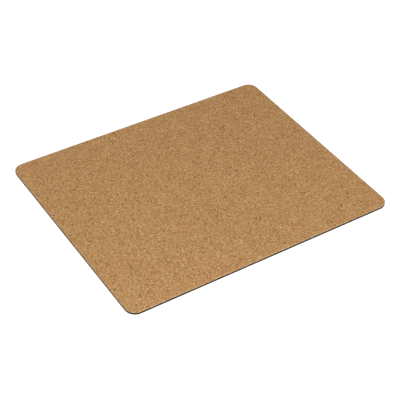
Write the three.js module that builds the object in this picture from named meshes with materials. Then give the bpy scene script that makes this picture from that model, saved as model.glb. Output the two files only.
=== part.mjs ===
import * as THREE from 'three';
import { toCreasedNormals } from 'three/addons/utils/BufferGeometryUtils.js';

// A desk mat: a thin sheet of fine-grain cork bonded to a black rubber base and cut out with one die.
// Millimetres, +Z up, the long sides along X. The origin is the middle of the underside.

// The outline that the die cuts
const matLength = 220;
const matDepth = 180;
const cornerRadius = 8;

// The layers, from the table up
const rubberThickness = 1.5;
const filmThickness = 0.1;
const corkThickness = 0.9;

// The cut edge: the die rolls the top of the cork over, the film shrinks back and the rubber bows in
const corkRollover = 0.4;
const filmSetback = 0.2;
const rubberBow = 0.12;
const rubberFootEase = 0.2;

// The grip pressed into the underside: V-grooves that leave a lattice of square studs inside a plain rim
const gripPitch = 6.5;
const gripRim = 6;
const grooveWidth = 1.3;
const grooveDepth = 0.45;

// How finely round forms are divided, and the angle above which an edge is shown sharp
const cornerSteps = 12;
const rolloverSteps = 5;
const bowSteps = 4;
const creaseAngle = THREE.MathUtils.degToRad(20);

function point(x, y, z) {
  return new THREE.Vector3(x, y, z);
}

// A rectangle between two opposite corners, anticlockwise seen from above.
function rectangle(x0, y0, x1, y1, z) {
  return [point(x0, y0, z), point(x1, y0, z), point(x1, y1, z), point(x0, y1, z)];
}

// The four rounded corners of the die's outline at one height, drawn in by an inset, in a rectangle's order.
function corners({ height, inset }) {
  const arcX = matLength / 2 - cornerRadius;
  const arcY = matDepth / 2 - cornerRadius;
  return rectangle(-arcX, -arcY, arcX, arcY, height).map(({ x, y }, i) => {
    const radius = cornerRadius - inset;
    const start = Math.PI + (i * Math.PI) / 2;
    const arc = new THREE.EllipseCurve(x, y, radius, radius, start, start + Math.PI / 2);
    return arc.getPoints(cornerSteps).map((at) => point(at.x, at.y, height));
  });
}

function ring(level) {
  return corners(level).flat();
}

// The cut edge of a sheet, lofted through the outline. Each level gives a height and an inset, lowest first.
function cutEdge(levels) {
  const rings = levels.map(ring);
  return rings.slice(1).flatMap((high, level) => {
    const low = rings[level];
    return low.map((corner, i) => {
      const next = (i + 1) % low.length;
      return [corner, low[next], high[next], high[i]];
    });
  });
}

// Faces joined into one closed surface. Each is a convex loop of points, anticlockwise seen from outside.
function surface(faces) {
  const triangles = faces.flatMap((face) => face.slice(2).flatMap((end, i) => [face[0], face[i + 1], end]));
  return toCreasedNormals(new THREE.BufferGeometry().setFromPoints(triangles), creaseAngle);
}

function plainSheet(levels) {
  return surface([ring(levels[0]).reverse(), ...cutEdge(levels), ring(levels.at(-1))]);
}

// The cork's edge is square below and a quarter round above.
function corkSheet(base) {
  const levels = [{ height: base, inset: 0 }];
  for (let step = 0; step <= rolloverSteps; step++) {
    const turn = (step / rolloverSteps) * (Math.PI / 2);
    levels.push({
      height: base + corkThickness - corkRollover * (1 - Math.sin(turn)),
      inset: corkRollover * (1 - Math.cos(turn)),
    });
  }
  return plainSheet(levels);
}

function adhesiveFilm(base) {
  return plainSheet([
    { height: base, inset: filmSetback },
    { height: base + filmThickness, inset: filmSetback },
  ]);
}

// Soft rubber springs back from the die, so its cut wall is a shallow hollow above an eased foot.
function rubberEdge() {
  const levels = [{ height: 0, inset: rubberFootEase }];
  for (let step = 0; step <= bowSteps; step++) {
    const rise = step / bowSteps;
    levels.push({
      height: THREE.MathUtils.lerp(rubberFootEase, rubberThickness, rise),
      inset: rubberBow * Math.sin(rise * Math.PI),
    });
  }
  return levels;
}

// Where the grooves lie across a span: a stud sits at the middle, and the last groove leaves the rim whole.
function grooveLines(span) {
  const room = span / 2 - gripRim - grooveWidth / 2;
  const perSide = Math.floor(room / gripPitch + 0.5);
  return Array.from({ length: 2 * perSide }, (_, i) => (i - perSide + 0.5) * gripPitch);
}

// One stud: a square face on the table, with sides that slope up to the bottoms of the grooves around it.
function stud(x0, y0, x1, y1) {
  const slopeRun = grooveWidth / 2;
  const foot = rectangle(x0 + slopeRun, y0 + slopeRun, x1 - slopeRun, y1 - slopeRun, 0);
  const root = rectangle(x0, y0, x1, y1, grooveDepth);
  const slopes = root.map((corner, i) => {
    const next = (i + 1) % root.length;
    return [foot[i], foot[next], root[next], corner];
  });
  return [foot.toReversed(), ...slopes];
}

// The plain rim, from the outline in to the lattice: a fan at each corner and a strip along each side.
function rimFaces(level, field) {
  const arcs = corners(level);
  return arcs.flatMap((arc, i) => {
    const next = (i + 1) % arcs.length;
    const fan = arc.slice(1).map((end, step) => [field[i], end, arc[step]]);
    return [...fan, [field[i], field[next], arcs[next][0], arc.at(-1)]];
  });
}

// The outer slopes of the outermost grooves, from the rim up to the roots of the outermost studs.
function fieldSlopes(field, linesX, linesY) {
  const roots = [
    linesX.map((x) => point(x, linesY[0], grooveDepth)),
    linesY.map((y) => point(linesX.at(-1), y, grooveDepth)),
    linesX.toReversed().map((x) => point(x, linesY.at(-1), grooveDepth)),
    linesY.toReversed().map((y) => point(linesX[0], y, grooveDepth)),
  ];
  return roots.map((line, i) => [field[(i + 1) % field.length], field[i], ...line]);
}

function rubberBase() {
  const levels = rubberEdge();
  const linesX = grooveLines(matLength);
  const linesY = grooveLines(matDepth);
  const fieldX = linesX.at(-1) + grooveWidth / 2;
  const fieldY = linesY.at(-1) + grooveWidth / 2;
  const field = rectangle(-fieldX, -fieldY, fieldX, fieldY, 0);
  const underside = [...rimFaces(levels[0], field), ...fieldSlopes(field, linesX, linesY)];
  for (let i = 1; i < linesX.length; i++) {
    for (let j = 1; j < linesY.length; j++) {
      underside.push(...stud(linesX[i - 1], linesY[j - 1], linesX[i], linesY[j]));
    }
  }
  return surface([...underside, ...cutEdge(levels), ring(levels.at(-1))]);
}

function piece(name, geometry, finish) {
  const mesh = new THREE.Mesh(geometry, new THREE.MeshStandardMaterial(finish));
  mesh.name = name;
  return mesh;
}

const filmBase = rubberThickness;
const corkBase = filmBase + filmThickness;

const mousePad = new THREE.Group();
mousePad.add(
  piece('cork_sheet', corkSheet(corkBase), { color: 0xb48a5c, roughness: 0.85, metalness: 0 }),
  piece('adhesive_film', adhesiveFilm(filmBase), { color: 0xd8c9a0, roughness: 0.5, metalness: 0 }),
  piece('rubber_base', rubberBase(), { color: 0x241f1b, roughness: 0.9, metalness: 0 }),
);

export default mousePad;
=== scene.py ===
import math
import random

import bmesh
import bpy
from mathutils import Matrix, Vector, noise


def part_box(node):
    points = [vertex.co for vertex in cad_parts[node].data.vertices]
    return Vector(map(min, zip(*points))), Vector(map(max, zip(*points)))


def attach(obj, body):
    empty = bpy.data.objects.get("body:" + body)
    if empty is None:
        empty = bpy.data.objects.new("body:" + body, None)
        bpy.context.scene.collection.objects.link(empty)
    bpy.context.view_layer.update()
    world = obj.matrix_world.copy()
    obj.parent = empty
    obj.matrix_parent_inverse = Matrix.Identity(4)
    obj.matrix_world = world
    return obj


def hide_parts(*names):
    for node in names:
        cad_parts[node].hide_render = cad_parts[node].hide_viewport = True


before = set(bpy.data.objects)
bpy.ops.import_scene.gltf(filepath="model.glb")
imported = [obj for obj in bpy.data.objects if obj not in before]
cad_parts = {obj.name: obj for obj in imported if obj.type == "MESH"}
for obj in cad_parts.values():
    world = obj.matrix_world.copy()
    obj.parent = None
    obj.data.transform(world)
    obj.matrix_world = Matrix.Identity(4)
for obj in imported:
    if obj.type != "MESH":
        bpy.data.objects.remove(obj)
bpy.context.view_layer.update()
mm = 0.001
print("frame loaded:", ", ".join(sorted(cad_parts)))

# the three layers are bonded first and then cut by one die, so they share one outline
corkLow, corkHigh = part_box("cork_sheet")
filmLow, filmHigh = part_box("adhesive_film")
rubberLow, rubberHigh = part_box("rubber_base")
outline = {
    "halfX": corkHigh.x,
    "halfY": corkHigh.y,
    "corner": 8 * mm,  # radius of the rounded corners
}
arcX = outline["halfX"] - outline["corner"]  # where the corner arcs have their centres
arcY = outline["halfY"] - outline["corner"]
sharpAngle = math.radians(40)  # an edge that turns further than this stays crisp


# mesh helpers

def outward(co):
    # straight out of the cut edge, away from the rectangle that joins the arcs' centres
    coreX = min(max(co.x, -arcX), arcX)
    coreY = min(max(co.y, -arcY), arcY)
    return Vector((co.x - coreX, co.y - coreY, 0)).normalized()


def roundCorners(verts):
    # the square block of mesh at each corner is drawn in, ring by ring, to a quarter disc
    for v in verts:
        dx, dy = abs(v.co.x) - arcX, abs(v.co.y) - arcY
        if dx > 0 and dy > 0:
            pull = max(dx, dy) / math.hypot(dx, dy)
            v.co.x = math.copysign(arcX + dx * pull, v.co.x)
            v.co.y = math.copysign(arcY + dy * pull, v.co.y)


def extrudeEdge(bm, out, z):
    # carries the sheet's open edge outwards and to a new height, and returns the new ring of vertices
    openEdges = [e for e in bm.edges if e.is_boundary]
    made = bmesh.ops.extrude_edge_only(bm, edges=openEdges)["geom"]
    ring = [v for v in made if isinstance(v, bmesh.types.BMVert)]
    for v in ring:
        v.co += outward(v.co) * out
        v.co.z = z
    return ring


def roundEdge(bm, radius, steps, z, rise):
    # carries the open edge through a quarter round from height z, upwards, or downwards if rise is -1
    rings = []
    for step in range(1, steps + 1):
        turn, before = [math.pi / 2 * i / steps for i in (step, step - 1)]
        out = radius * (math.sin(turn) - math.sin(before))
        rings.append(extrudeEdge(bm, out, z + rise * radius * (1 - math.cos(turn))))
    return rings


def closeEdge(bm):
    bmesh.ops.edgeloop_fill(bm, edges=[e for e in bm.edges if e.is_boundary])


def finishPiece(bm, name, material, node):
    bmesh.ops.recalc_face_normals(bm, faces=bm.faces)
    for f in bm.faces:
        f.smooth = True
    for e in bm.edges:
        e.smooth = e.calc_face_angle(0) < sharpAngle
    mesh = bpy.data.meshes.new(name)
    bm.to_mesh(mesh)
    bm.free()
    mesh.materials.append(material)
    piece = bpy.data.objects.new(name, mesh)
    bpy.context.scene.collection.objects.link(piece)
    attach(piece, "root")
    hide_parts(node)
    print(f"{name}: {sum(len(p.vertices) - 2 for p in mesh.polygons)} triangles")


# material helpers

white = "#ffffff"
noiseLow, noiseHigh = 0.3, 0.7  # nearly all of a noise texture's values lie between these


def linear(hexColour):
    srgb = [int(hexColour[i:i + 2], 16) / 255 for i in (1, 3, 5)]
    return [c / 12.92 if c <= 0.04045 else ((c + 0.055) / 1.055) ** 2.4 for c in srgb] + [1]


def addNode(tree, kind, inputs, output=None, stops=None, **settings):
    # inputs are set or linked by name, or by number where names repeat
    node = tree.nodes.new(kind)
    for name, value in settings.items():
        setattr(node, name, value)
    live = [socket for socket in node.inputs if socket.enabled]
    named = {socket.name: socket for socket in live}
    for key, value in inputs.items():
        socket = live[key] if isinstance(key, int) else named[key]
        if isinstance(value, bpy.types.NodeSocket):
            tree.links.new(value, socket)
        else:
            socket.default_value = value
    if stops:
        elements = node.color_ramp.elements
        while len(elements) < len(stops):
            elements.new(1)
        for element, (position, hexColour) in zip(elements, stops):
            element.position = position
            element.color = linear(hexColour)
    # the named output comes back, or the first
    outputs = [socket for socket in node.outputs if socket.enabled]
    return next((socket for socket in outputs if socket.name == (output or socket.name)), None)


def newTree(owner):
    owner.use_nodes = True
    owner.node_tree.nodes.clear()
    return owner.node_tree


# cork, ground to granules, pressed with a binder, sliced thin and sanded: the eye sees tan grains of
# many shades packed edge to edge with hairline seams, a scatter of dark bark flecks, and no shine
cork = {
    "granule": 0.63 * mm,
    "granuleShades": [
        (0, "#7e4e1e"), (0.2, "#aa7a48"), (0.55, "#c2935d"), (0.85, "#d7ab76"), (1, "#f4d1a0"),
    ],
    "chip": 0.33 * mm,  # the finer chips that fill in between the granules
    "chipShades": [(0, "#845422"), (0.5, "#be8e58"), (1, "#eec590")],
    "chipShare": 0.4,
    "wander": 0.4 * mm,  # the granules' outlines wander over this length
    "raggedness": 0.3 * mm,  # and this far
    "mottle": (13 * mm, 0.03),  # slow drift of tone over the sheet: its size and its depth
    "speckle": (0.14 * mm, 0.12),  # likewise, clumps of cells in a grain: one cell is too fine to show
    "seam": "#7e501f",
    "seamWidth": 0.12,  # share of a granule
    "seamDepth": 0.75,
    "seamGaps": 1.1 * mm,  # the binder shows in stretches about this long
    "seamSpan": (0.35, 0.65),  # levels of their noise where it starts to show, and shows in full
    "fleck": "#673b0c",
    "fleckSpacing": 1.9 * mm,
    "fleckRadius": 0.42 * mm,
    "fleckShare": 0.42,  # share of the places that hold a fleck
    "fleckSoft": 0.05,  # share of the spacing over which its rim fades
    # a painted shade for the hollows where grains have come out
    "pitPaintedShade": "#6a3c0a",
    "shearCast": (0.92, 1.14, 1.48),  # red, green, blue: sheared grains are greyer than the sanded face
    "relief": 0.05 * mm,
    "crown": 0.25,  # share of a granule over which its top rounds off
    "chipStep": 0.6,  # how far a chip stands up, beside that
    "roughness": (0.74, 0.92),
    "specular": 0.2,

    # the sheet's own shape
    "cell": 0.9 * mm,
    "cellJitter": 0.24 * mm,
    "swell": 0.03 * mm,  # sanding leaves the face a little uneven
    "swellSize": 2.5 * mm,
    "pitRoom": 0.74 * mm,  # cells with a shorter side keep their grain
    "pitShare": 0.036,  # share of the roomier cells where a grain has come out
    "pitPairs": 0.5,  # share of those that may take a neighbour too
    "pitWall": 0.1 * mm,
    "pitDepth": 0.13 * mm,
    "pitSwell": 0.15,  # share by which the sides of a pit's rim bulge
    "pitReach": (0.24 * mm, 0.36 * mm),  # from the middle of its floor to the foot of its wall
    "pitRagged": 0.2,  # share by which that reach strays
    # how strongly each pit's painted shade shows
    "pitShadeStrength": (0.7, 1),
    "rollover": 0.4 * mm,  # the die rounds the top edge over
    "rolloverSteps": 5,
    "sideSteps": 2,
    "crumble": 0.05 * mm,  # the sheared side is as rough as its grains
    "crumbleSize": 0.8 * mm,
    "nick": 0.5 * mm,  # how hard the noise bites into the edge where grains have left it
    "nickSize": 2.2 * mm,
    "nickFrom": 0.35,  # level of the noise above which a nick begins
    "seed": 11,
}


def corkGrains(tree, place, ragged):
    # a shade drawn by lot for each granule and each chip
    lots, shades = {}, {}
    for grain in ("granule", "chip"):
        cell = addNode(tree, "ShaderNodeTexVoronoi", {"Vector": ragged, "Scale": 1 / cork[grain]}, "Color")
        lots[grain] = addNode(tree, "ShaderNodeSeparateColor", {"Color": cell}, "Red")
        shades[grain] = addNode(tree, "ShaderNodeValToRGB", {"Fac": lots[grain]},
                                stops=cork[grain + "Shades"])
    colour = addNode(tree, "ShaderNodeMix", {
        "Factor": cork["chipShare"], "A": shades["granule"], "B": shades["chip"],
    }, data_type="RGBA")
    for size, depth in (cork["mottle"], cork["speckle"]):
        level = addNode(tree, "ShaderNodeTexNoise", {"Vector": place, "Scale": 1 / size}, "Fac")
        tone = addNode(tree, "ShaderNodeMapRange", {
            "Value": level, "From Min": noiseLow, "From Max": noiseHigh,
            "To Min": 1 - depth, "To Max": 1 + depth,
        })
        colour = addNode(tree, "ShaderNodeVectorMath", {"Vector": colour, "Scale": tone}, operation="SCALE")
    return colour, lots["chip"]


def corkSeams(tree, place, edge, grains):
    # binder shows as darker hairlines between the granules, here and there
    hairline = addNode(tree, "ShaderNodeMapRange", {
        "Value": edge, "From Max": cork["seamWidth"], "To Min": 1, "To Max": 0,
    })
    gaps = addNode(tree, "ShaderNodeTexNoise", {"Vector": place, "Scale": 1 / cork["seamGaps"]}, "Fac")
    low, high = cork["seamSpan"]
    shown = addNode(tree, "ShaderNodeMapRange", {
        "Value": gaps, "From Min": low, "From Max": high, "To Max": cork["seamDepth"],
    })
    seam = addNode(tree, "ShaderNodeMath", {0: hairline, 1: shown}, operation="MULTIPLY")
    return addNode(tree, "ShaderNodeMix", {"Factor": seam, "A": grains, "B": linear(cork["seam"])},
                   data_type="RGBA")


def corkFlecks(tree, ragged, ground):
    # bark flecks round a few of the places, each with its own radius
    away = addNode(tree, "ShaderNodeTexVoronoi", {"Vector": ragged, "Scale": 1 / cork["fleckSpacing"]},
                   "Distance")
    lot = addNode(tree, "ShaderNodeSeparateColor", {"Color": away.node.outputs["Color"]}, "Green")
    radius = addNode(tree, "ShaderNodeMapRange", {
        "Value": lot, "From Min": 1 - cork["fleckShare"],
        "To Max": cork["fleckRadius"] / cork["fleckSpacing"],
    })
    inside = addNode(tree, "ShaderNodeMath", {0: radius, 1: away}, operation="SUBTRACT")
    fleck = addNode(tree, "ShaderNodeMapRange", {"Value": inside, "From Max": cork["fleckSoft"]})
    return addNode(tree, "ShaderNodeMix", {"Factor": fleck, "A": ground, "B": linear(cork["fleck"])},
                   data_type="RGBA")


def corkMaterial():
    material = bpy.data.materials.new("sanded_agglomerated_cork")
    tree = newTree(material)
    place = addNode(tree, "ShaderNodeTexCoord", {}, "Object")
    drift = addNode(tree, "ShaderNodeTexNoise", {"Vector": place, "Scale": 1 / cork["wander"]}, "Color")
    ragged = addNode(tree, "ShaderNodeVectorMath", {0: drift, 1: [cork["raggedness"]] * 3, 2: place},
                     operation="MULTIPLY_ADD")
    grains, chipLot = corkGrains(tree, place, ragged)
    edge = addNode(tree, "ShaderNodeTexVoronoi", {"Vector": ragged, "Scale": 1 / cork["granule"]},
                   feature="DISTANCE_TO_EDGE")
    seamed = corkSeams(tree, place, edge, grains)
    flecked = corkFlecks(tree, ragged, seamed)

    # the mesh says where its pits are, which take a painted shade, and which faces the die sheared
    pitPaintedShade = addNode(tree, "ShaderNodeAttribute", {}, "Fac", attribute_name="pitPaintedShade")
    # the pits are darkened with a painted shade
    pitShaded = addNode(tree, "ShaderNodeMix", {"Factor": pitPaintedShade, "A": flecked, "B": linear(cork["pitPaintedShade"])},
                     data_type="RGBA")
    cut = addNode(tree, "ShaderNodeAttribute", {}, "Fac", attribute_name="cut")
    sheared = addNode(tree, "ShaderNodeVectorMath", {0: pitShaded, 1: cork["shearCast"]},
                      operation="MULTIPLY")
    colour = addNode(tree, "ShaderNodeMix", {"Factor": cut, "A": pitShaded, "B": sheared}, data_type="RGBA")

    crown = addNode(tree, "ShaderNodeMapRange", {"Value": edge, "From Max": cork["crown"]})
    height = addNode(tree, "ShaderNodeMath", {0: chipLot, 1: cork["chipStep"], 2: crown},
                     operation="MULTIPLY_ADD")
    bump = addNode(tree, "ShaderNodeBump", {"Height": height, "Distance": cork["relief"]})
    low, high = cork["roughness"]
    roughness = addNode(tree, "ShaderNodeMapRange", {"Value": chipLot, "To Min": low, "To Max": high})
    surface = addNode(tree, "ShaderNodeBsdfPrincipled", {
        "Base Color": colour, "Roughness": roughness, "Normal": bump,
        "Specular IOR Level": cork["specular"],
    })
    addNode(tree, "ShaderNodeOutputMaterial", {"Surface": surface})
    return material


def sandFace(bm, draw):
    # the sanded face, as far out as the rollover
    halfX, halfY = outline["halfX"] - cork["rollover"], outline["halfY"] - cork["rollover"]
    columns, rows = round(2 * halfX / cork["cell"]), round(2 * halfY / cork["cell"])
    bmesh.ops.create_grid(bm, x_segments=columns, y_segments=rows, size=1)
    bmesh.ops.scale(bm, verts=bm.verts, vec=(halfX, halfY, 1))
    roundCorners(bm.verts)
    for v in bm.verts:
        v.co.z = corkHigh.z
        if not v.is_boundary:
            v.co += Vector((draw.uniform(-1, 1), draw.uniform(-1, 1), 0)) * cork["cellJitter"]
            v.co.z -= cork["swell"] * abs(noise.noise(v.co / cork["swellSize"]))


def choosePits(bm, draw):
    # single cells and pairs of them, inside the face, where there is room for a pit
    for f in bm.faces:
        roomy = min(e.calc_length() for e in f.edges) > cork["pitRoom"]
        f.tag = roomy and not any(v.is_boundary for v in f.verts)
    pits = []
    for f in bm.faces:
        if f.tag and draw.random() < cork["pitShare"]:
            pits.append(f)
            if draw.random() < cork["pitPairs"]:
                beside = draw.choice(f.edges[:]).link_faces
                pits += [face for face in beside if face is not f and face.tag]
    return list(dict.fromkeys(pits))  # each cell once


def sinkPits(bm, draw):
    pitShadeLayer = bm.verts.layers.float["pitPaintedShade"]
    pits = choosePits(bm, draw)
    bm.normal_update()
    bmesh.ops.inset_individual(bm, faces=pits, thickness=cork["pitWall"], depth=-cork["pitDepth"],
                               use_even_offset=True)
    for f in pits:
        middle = f.calc_center_median()
        # each wall is halved, and the rim bulges where it was split
        for e in f.edges[:]:
            wall = next(face for face in e.link_faces if face is not f)
            rim = next(edge for edge in wall.edges if not set(edge.verts) & set(e.verts))
            low, high = [bmesh.utils.edge_split(side, side.verts[0], 0.5)[1] for side in (e, rim)]
            bmesh.utils.face_split(wall, low, high)
            high.co.xy += (high.co - middle).xy * cork["pitSwell"]
        # the floor is drawn in to a ragged round
        reach = draw.uniform(*cork["pitReach"])
        # each pit floor takes a painted shade of its own strength, kept on its vertices
        paintedShade = draw.uniform(*cork["pitShadeStrength"])
        for v in f.verts:
            arm = v.co - middle
            stray = draw.uniform(1 - cork["pitRagged"], 1 + cork["pitRagged"])
            v.co = middle + arm * min(1, reach * stray / arm.length)
            v[pitShadeLayer] = paintedShade


def shearEdge(bm):
    # over the quarter round, then down the sheared side, which has lost grains
    cutLayer = bm.verts.layers.float["cut"]
    rings = roundEdge(bm, cork["rollover"], cork["rolloverSteps"], corkHigh.z, -1)
    sideTop = corkHigh.z - cork["rollover"]
    for step in range(1, cork["sideSteps"] + 1):
        rings.append(extrudeEdge(bm, 0, sideTop + (corkLow.z - sideTop) * step / cork["sideSteps"]))
    closeEdge(bm)
    for depth, ring in enumerate(rings, 1):
        share = min(depth / cork["rolloverSteps"], 1)  # grows over the quarter round, then stays
        for v in ring:
            v[cutLayer] = share
            loss = max(0, noise.noise(v.co / cork["nickSize"]) - cork["nickFrom"])
            crumble = cork["crumble"] * noise.noise(v.co / cork["crumbleSize"])
            v.co += outward(v.co) * (crumble - cork["nick"] * loss) * share


def makeCorkTop():
    draw = random.Random(cork["seed"])
    bm = bmesh.new()
    for mark in ("pitPaintedShade", "cut"):
        bm.verts.layers.float.new(mark)
    sandFace(bm, draw)
    sinkPits(bm, draw)
    shearEdge(bm)
    finishPiece(bm, "cork_top", corkMaterial(), "cork_sheet")


# contact adhesive, rolled on wet and dried between the layers: an amber hairline, a little glossy
glue = {
    "thin": "#d9bf88",
    "thick": "#a97f45",
    "streak": 2.5 * mm,
    "streakDetail": 4,
    "ripple": 0.03 * mm,
    "roughness": (0.35, 0.6),  # where it is thick, and where it is thin
    "ior": 1.48,

    # the film's own shape
    "setback": 0.2 * mm,  # it shrinks back from the cut as it dries
    "waver": 0.07 * mm,
    "waveLength": 3 * mm,
    "cornerSteps": 12,
    "sideCuts": 90,  # along each straight side
}


def glueMaterial():
    material = bpy.data.materials.new("dried_contact_adhesive")
    tree = newTree(material)
    place = addNode(tree, "ShaderNodeTexCoord", {}, "Object")
    streak = addNode(tree, "ShaderNodeTexNoise", {
        "Vector": place, "Scale": 1 / glue["streak"], "Detail": glue["streakDetail"],
    }, "Fac")
    spread = addNode(tree, "ShaderNodeMapRange", {
        "Value": streak, "From Min": noiseLow, "From Max": noiseHigh,
    })
    colour = addNode(tree, "ShaderNodeMix", {
        "Factor": spread, "A": linear(glue["thin"]), "B": linear(glue["thick"]),
    }, data_type="RGBA")
    low, high = glue["roughness"]
    roughness = addNode(tree, "ShaderNodeMapRange", {"Value": spread, "To Min": high, "To Max": low})
    bump = addNode(tree, "ShaderNodeBump", {"Height": streak, "Distance": glue["ripple"]})
    surface = addNode(tree, "ShaderNodeBsdfPrincipled", {
        "Base Color": colour, "Roughness": roughness, "IOR": glue["ior"], "Normal": bump,
    })
    addNode(tree, "ShaderNodeOutputMaterial", {"Surface": surface})
    return material


def makeGlueFilm():
    bm = bmesh.new()
    segments = 4 * glue["cornerSteps"]
    radius = outline["corner"] - glue["setback"]
    bmesh.ops.create_circle(bm, cap_ends=True, segments=segments, radius=radius)
    # turned half a step, so that no vertex lies on an axis, and each quarter drawn out to its corner
    bmesh.ops.rotate(bm, verts=bm.verts, matrix=Matrix.Rotation(math.pi / segments, 3, "Z"))
    for v in bm.verts:
        v.co += Vector((math.copysign(arcX, v.co.x), math.copysign(arcY, v.co.y), filmLow.z))
    sides = [e for e in bm.edges if e.calc_length() > outline["corner"]]
    bmesh.ops.subdivide_edges(bm, edges=sides, cuts=glue["sideCuts"])
    for v in bm.verts:
        v.co += outward(v.co) * glue["waver"] * noise.noise(v.co / glue["waveLength"])
    made = bmesh.ops.extrude_face_region(bm, geom=bm.faces[:])["geom"]
    raised = [v for v in made if isinstance(v, bmesh.types.BMVert)]
    bmesh.ops.translate(bm, verts=raised, vec=(0, 0, filmHigh.z - filmLow.z))
    finishPiece(bm, "glue_film", glueMaterial(), "adhesive_film")


# natural rubber filled with carbon black, calendered to a sheet, vulcanised in a studded mould and cut:
# a dull brownish black with a fine pebble, a grey bloom in patches, and feet scuffed paler by the table
rubber = {
    "black": "#28221d",
    "bloom": "#3a322a",
    "bloomSize": 9 * mm,
    "bloomDetail": 5,
    "bloomSpan": (0.35, 0.7),  # levels of its noise where a patch starts, and where it is full
    "scuff": "#5b5145",
    "scuffSize": 1.1 * mm,
    "scuffDetail": 4,
    "scuffSpan": (0.42, 0.7),
    "scuffDepth": 0.6,
    "cutWall": "#1d1309",  # fresh from the die, without bloom
    "drag": "#2a1f13",  # lines that the die drew down the wall
    "dragSpacing": 0.12 * mm,
    "dragStretch": 8,  # how much longer than wide they are
    "dragSpan": (0.4, 0.7),
    "pebble": 0.35 * mm,
    "pebbleDepth": 0.03 * mm,
    "roughness": (0.68, 0.9),  # bare, and under full bloom
    "ior": 1.52,
    "specular": 0.07,

    # the base's own shape
    "studPitch": 6.5 * mm,
    "rim": 6 * mm,  # plain, and at least this wide
    "rimCells": 8,
    "grooveWidth": 1.3 * mm,
    "grooveDepth": 0.45 * mm,
    "arris": 0.14 * mm,  # rounding on the studs' feet
    "arrisSteps": 2,
    "footEase": 0.2 * mm,
    "footSteps": 3,
    "bow": 0.12 * mm,  # the cut wall springs back hollow
    "bowSteps": 6,
}


def rubberFace(tree, place):
    # bloom in patches, and scuffs where the mesh says that its feet are worn
    cloud = addNode(tree, "ShaderNodeTexNoise", {
        "Vector": place, "Scale": 1 / rubber["bloomSize"], "Detail": rubber["bloomDetail"],
    }, "Fac")
    low, high = rubber["bloomSpan"]
    bloom = addNode(tree, "ShaderNodeMapRange", {"Value": cloud, "From Min": low, "From Max": high})
    bloomed = addNode(tree, "ShaderNodeMix", {
        "Factor": bloom, "A": linear(rubber["black"]), "B": linear(rubber["bloom"]),
    }, data_type="RGBA")
    smear = addNode(tree, "ShaderNodeTexNoise", {
        "Vector": place, "Scale": 1 / rubber["scuffSize"], "Detail": rubber["scuffDetail"],
    }, "Fac")
    low, high = rubber["scuffSpan"]
    patch = addNode(tree, "ShaderNodeMapRange", {
        "Value": smear, "From Min": low, "From Max": high, "To Max": rubber["scuffDepth"],
    })
    worn = addNode(tree, "ShaderNodeAttribute", {}, "Fac", attribute_name="worn")
    scuff = addNode(tree, "ShaderNodeMath", {0: patch, 1: worn}, operation="MULTIPLY")
    scuffed = addNode(tree, "ShaderNodeMix", {"Factor": scuff, "A": bloomed, "B": linear(rubber["scuff"])},
                      data_type="RGBA")
    return scuffed, bloom


def rubberWall(tree, place):
    # the cut wall, where the die has drawn lines down it
    upright = addNode(tree, "ShaderNodeMapping", {
        "Vector": place, "Scale": (1, 1, 1 / rubber["dragStretch"]),
    })
    lines = addNode(tree, "ShaderNodeTexNoise", {"Vector": upright, "Scale": 1 / rubber["dragSpacing"]},
                    "Fac")
    low, high = rubber["dragSpan"]
    drag = addNode(tree, "ShaderNodeMapRange", {"Value": lines, "From Min": low, "From Max": high})
    return addNode(tree, "ShaderNodeMix", {
        "Factor": drag, "A": linear(rubber["cutWall"]), "B": linear(rubber["drag"]),
    }, data_type="RGBA")


def rubberMaterial():
    material = bpy.data.materials.new("calendered_black_rubber")
    tree = newTree(material)
    place = addNode(tree, "ShaderNodeTexCoord", {}, "Object")
    face, bloom = rubberFace(tree, place)
    wall = rubberWall(tree, place)
    cut = addNode(tree, "ShaderNodeAttribute", {}, "Fac", attribute_name="cut")
    colour = addNode(tree, "ShaderNodeMix", {"Factor": cut, "A": face, "B": wall}, data_type="RGBA")
    pebble = addNode(tree, "ShaderNodeTexVoronoi", {"Vector": place, "Scale": 1 / rubber["pebble"]},
                     "Distance")
    bump = addNode(tree, "ShaderNodeBump", {"Height": pebble, "Distance": rubber["pebbleDepth"]})
    low, high = rubber["roughness"]
    roughness = addNode(tree, "ShaderNodeMapRange", {"Value": bloom, "To Min": low, "To Max": high})
    surface = addNode(tree, "ShaderNodeBsdfPrincipled", {
        "Base Color": colour, "Roughness": roughness, "Normal": bump,
        "IOR": rubber["ior"], "Specular IOR Level": rubber["specular"],
    })
    addNode(tree, "ShaderNodeOutputMaterial", {"Surface": surface})
    return material


def gripLines(half):
    # where the underside's mesh lines lie: the plain rim, the grooves with a stud at the middle, the rim
    perSide = int((half - rubber["rim"] - rubber["grooveWidth"] / 2) / rubber["studPitch"] + 0.5)
    grooves = [(i - perSide + 0.5) * rubber["studPitch"] for i in range(2 * perSide)]
    rimStart = grooves[-1] + rubber["grooveWidth"] / 2
    rimStep = (half - rubber["footEase"] - rimStart) / (rubber["rimCells"] - 1)
    rim = [rimStart + i * rimStep for i in range(rubber["rimCells"])]
    return [-x for x in reversed(rim)] + grooves + rim


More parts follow.
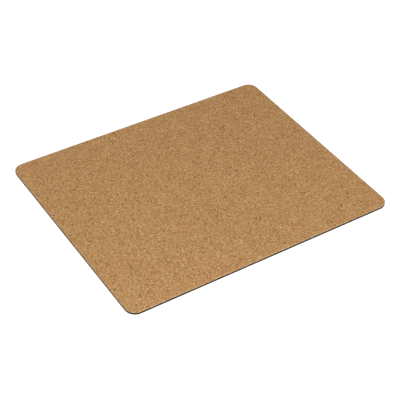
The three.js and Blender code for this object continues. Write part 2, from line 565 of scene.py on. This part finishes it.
def pressStuds(bm):
    # the underside starts as a grid on the grip's lines, raised to the grooves' bottoms inside the rim
    wornLayer = bm.verts.layers.float["worn"]
    linesX, linesY = gripLines(outline["halfX"]), gripLines(outline["halfY"])
    columns, rows = len(linesX) - 1, len(linesY) - 1
    bmesh.ops.create_grid(bm, x_segments=columns, y_segments=rows, size=1)
    for v in bm.verts:
        column, row = round((v.co.x + 1) / 2 * columns), round((v.co.y + 1) / 2 * rows)
        inGrip = min(column, columns - column, row, rows - row) >= rubber["rimCells"]
        v.co = (linesX[column], linesY[row], rubberLow.z + (rubber["grooveDepth"] if inGrip else 0))
    roundCorners(bm.verts)
    bmesh.ops.reverse_faces(bm, faces=bm.faces)
    bm.normal_update()

    # each cell among the grooves is pressed down to a stud, and its foot is rounded
    feet = [f for f in bm.faces if all(v.co.z > rubberLow.z for v in f.verts)]
    bmesh.ops.inset_individual(bm, faces=feet, thickness=rubber["grooveWidth"] / 2,
                               depth=rubber["grooveDepth"], use_even_offset=True)
    for f in feet:
        for v in f.verts:
            v[wornLayer] = 1
    bmesh.ops.bevel(bm, geom=[e for f in feet for e in f.edges], offset=rubber["arris"],
                    offset_type="OFFSET", affect="EDGES", segments=rubber["arrisSteps"],
                    profile=0.5, material=-1)


def cutWall(bm):
    # up round the foot, then up the hollow wall to the glue
    cutLayer = bm.verts.layers.float["cut"]
    rings = roundEdge(bm, rubber["footEase"], rubber["footSteps"], rubberLow.z, 1)
    wallFoot = rubberLow.z + rubber["footEase"]
    for step in range(1, rubber["bowSteps"] + 1):
        rise, before = step / rubber["bowSteps"], (step - 1) / rubber["bowSteps"]
        out = rubber["bow"] * (math.sin(before * math.pi) - math.sin(rise * math.pi))
        rings.append(extrudeEdge(bm, out, wallFoot + (rubberHigh.z - wallFoot) * rise))
    closeEdge(bm)
    for v in sum(rings, []):
        v[cutLayer] = 1


def makeRubberUnderlay():
    bm = bmesh.new()
    for mark in ("worn", "cut"):
        bm.verts.layers.float.new(mark)
    pressStuds(bm)
    cutWall(bm)
    finishPiece(bm, "rubber_underlay", rubberMaterial(), "rubber_base")


# white paper sweep: it shows white to the eye and still takes the mat's shadow
stage = {
    "paper": "#e6e6e6",
    "roughness": 0.9,
    "specular": 0.1,
    "glow": 0.6,
    "half": 2500 * mm,
    "drop": 0.02 * mm,  # just under the feet
}


def seenDirectly(tree):
    # 1 for the camera's own rays and for those that come by way of gloss or glass
    seen = addNode(tree, "ShaderNodeLightPath", {}, "Is Camera Ray")
    rays = seen.node.outputs
    for kind in ("Is Glossy Ray", "Is Transmission Ray"):
        seen = addNode(tree, "ShaderNodeMath", {0: seen, 1: rays[kind]}, operation="MAXIMUM")
    return seen


def makeFloor():
    bm = bmesh.new()
    bmesh.ops.create_grid(bm, x_segments=1, y_segments=1, size=stage["half"])
    bmesh.ops.translate(bm, verts=bm.verts, vec=(0, 0, rubberLow.z - stage["drop"]))
    mesh = bpy.data.meshes.new("paper_sweep")
    bm.to_mesh(mesh)
    bm.free()
    material = bpy.data.materials.new("white_paper")
    tree = newTree(material)
    glow = addNode(tree, "ShaderNodeMath", {0: seenDirectly(tree), 1: stage["glow"]}, operation="MULTIPLY")
    surface = addNode(tree, "ShaderNodeBsdfPrincipled", {
        "Base Color": linear(stage["paper"]), "Roughness": stage["roughness"],
        "Specular IOR Level": stage["specular"],
        "Emission Color": linear(white), "Emission Strength": glow,
    })
    addNode(tree, "ShaderNodeOutputMaterial", {"Surface": surface})
    mesh.materials.append(material)
    floor = bpy.data.objects.new("paper_sweep", mesh)
    bpy.context.scene.collection.objects.link(floor)


# soft studio light: an even white sky, and a large softbox above and in front, a little to the left
lighting = {
    "sky": 0.42,
    "keyPower": 8.4,
    "keySize": 800 * mm,
    "keyFrom": Vector((-300, -660, 700)) * mm,  # it faces the middle of the mat
}


def makeLights():
    world = bpy.data.worlds.new("soft_sky")
    bpy.context.scene.world = world
    tree = newTree(world)
    strength = addNode(tree, "ShaderNodeMapRange", {
        "Value": seenDirectly(tree), "To Min": lighting["sky"], "To Max": 1,
    })
    sky = addNode(tree, "ShaderNodeBackground", {"Color": linear(white), "Strength": strength})
    addNode(tree, "ShaderNodeOutputWorld", {"Surface": sky})
    lamp = bpy.data.lights.new("key_softbox", "AREA")
    lamp.energy = lighting["keyPower"]
    lamp.size = lighting["keySize"]
    light = bpy.data.objects.new("key_softbox", lamp)
    aim = lighting["keyFrom"].to_track_quat("Z", "Y").to_matrix().to_4x4()
    light.matrix_world = Matrix.Translation(lighting["keyFrom"]) @ aim
    light.visible_camera = False
    bpy.context.scene.collection.objects.link(light)


# where the photograph was taken from, worked out from the mat's four straight sides
view = {
    "azimuth": math.radians(-33.77),
    "elevation": math.radians(40.65),
    "roll": math.radians(1.848),
    "target": Vector((-6.69, -12.93, 0)) * mm,
    "distance": 841.8 * mm,
    "lens": 102.564,  # this and the sensor's width are in millimetres
    "sensor": 36,
    "nearest": 10 * mm,
}


def makeCamera():
    flat = math.cos(view["elevation"])
    back = Vector((
        math.sin(view["azimuth"]) * flat,
        -math.cos(view["azimuth"]) * flat,
        math.sin(view["elevation"]),
    ))
    right = Vector((math.cos(view["azimuth"]), math.sin(view["azimuth"]), 0))
    turn = Matrix((right, back.cross(right), back)).transposed() @ Matrix.Rotation(view["roll"], 3, "Z")
    camera = bpy.data.objects.new("camera", bpy.data.cameras.new("camera"))
    camera.data.lens = view["lens"]
    camera.data.sensor_width = view["sensor"]
    camera.data.clip_start = view["nearest"]
    camera.matrix_world = Matrix.Translation(view["target"] + back * view["distance"]) @ turn.to_4x4()
    bpy.context.scene.collection.objects.link(camera)
    bpy.context.scene.camera = camera


makeCorkTop()
makeGlueFilm()
makeRubberUnderlay()
makeFloor()
makeLights()
makeCamera()
bpy.context.scene.view_settings.view_transform = "Standard"
print("floor, lights and camera placed")
